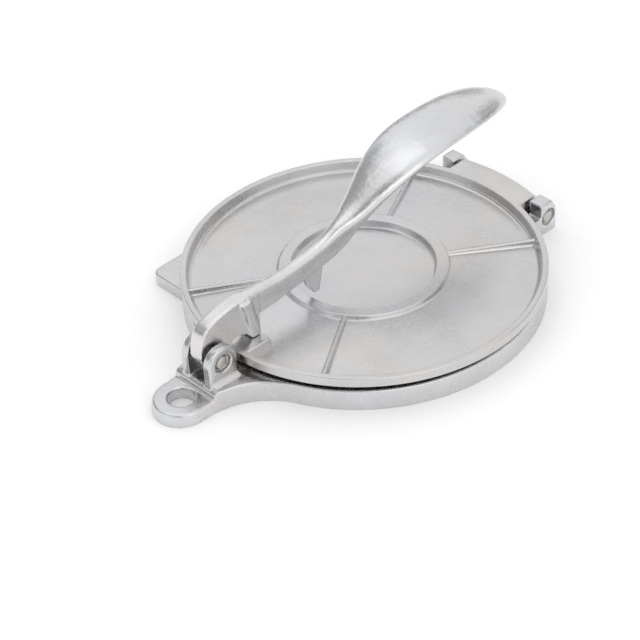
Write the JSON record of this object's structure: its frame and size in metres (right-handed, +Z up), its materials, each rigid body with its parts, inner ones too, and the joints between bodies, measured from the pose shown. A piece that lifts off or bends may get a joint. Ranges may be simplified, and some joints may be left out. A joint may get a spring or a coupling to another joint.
{
  "type": "tortilla press",
  "caption": "Round cast aluminium press: a dished top plate hinged on a flat base, pushed down by a long hand lever pivoted over a hanging eye.",
  "frame": {"origin": "middle of the whole press seen from above, on the table it stands on", "axes": "+Y from the hanging eye and lever pivot to the rear hinge, +X to the right of that line, +Z up"},
  "size_m": [0.21, 0.2778, 0.0884],
  "materials": {
    "base_casting": "tumbled satin sand casting",
    "plate_casting": "tumbled satin casting with a machined rim",
    "lever_casting": "hand polished over a tumbled casting",
    "pin_steel": "plain turned steel"
  },
  "bodies": {
    "base": {"base_plate": "base_casting", "lever_pin": "pin_steel", "hinge_pin_right": "pin_steel", "hinge_pin_left": "pin_steel"},
    "top_plate": {"top_plate": "plate_casting"},
    "lever": {"lever": "lever_casting"}
  },
  "joints": [
    {"name": "lever_swing", "type": "hinge", "parent": "base", "child": "lever", "pos_m": [0, -0.09965, 0.0244], "axis": [1, 0, 0], "range_deg": [0, 105]},
    {"name": "plate_hinge", "type": "hinge", "parent": "base", "child": "top_plate", "pos_m": [0, 0.13195, 0.0104], "axis": [-1, 0, 0], "range_deg": [0, 10.5]}
  ],
  "couplings": [
    {"joint": "plate_hinge", "follows": "lever_swing", "ratio": 0.1}
  ]
}
